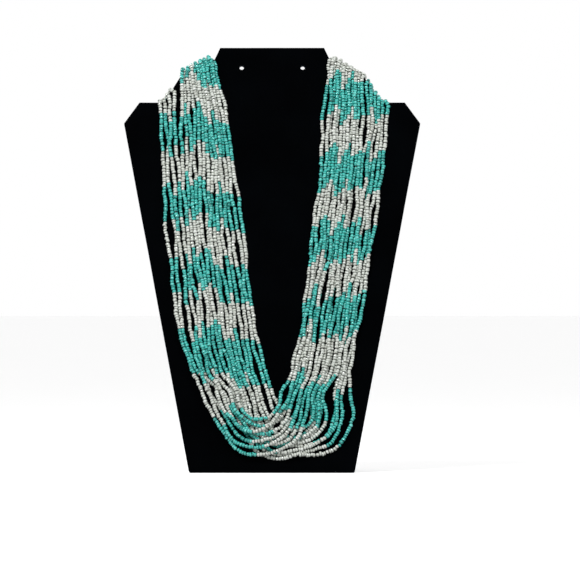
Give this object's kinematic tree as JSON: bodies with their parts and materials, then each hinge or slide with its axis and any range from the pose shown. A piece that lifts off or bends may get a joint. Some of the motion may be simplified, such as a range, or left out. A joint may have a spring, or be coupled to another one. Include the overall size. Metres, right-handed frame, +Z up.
{
  "type": "multi strand bead necklace on display board",
  "caption": "Multi strand seed bead necklace in turquoise and white bands, draped over a leaning black velvet display board with an easel strut.",
  "frame": {"origin": "middle of the board's flat base, on the surface it stands on", "axes": "+Z up, the necklace faces -Y, +X to the right as seen from the front"},
  "size_m": [0.216, 0.1213, 0.3091],
  "materials": {
    "seed_beads": "glossy opaque glass seed beads in turquoise and pearl white",
    "board_velvet": "short black velvet pile",
    "strut_card": "matte black covered card",
    "clasp_metal": "satin silver coloured metal"
  },
  "bodies": {
    "root": {"display_board": "board_velvet", "easel_strut": "strut_card", "clasp": "clasp_metal", "strand_01": "seed_beads", "strand_02": "seed_beads", "strand_03": "seed_beads", "strand_04": "seed_beads", "strand_05": "seed_beads", "strand_06": "seed_beads", "strand_07": "seed_beads", "strand_08": "seed_beads", "strand_09": "seed_beads", "strand_10": "seed_beads", "strand_11": "seed_beads", "strand_12": "seed_beads", "strand_13": "seed_beads", "strand_14": "seed_beads", "strand_15": "seed_beads", "strand_16": "seed_beads", "strand_17": "seed_beads", "strand_18": "seed_beads"}
  },
  "joints": []
}
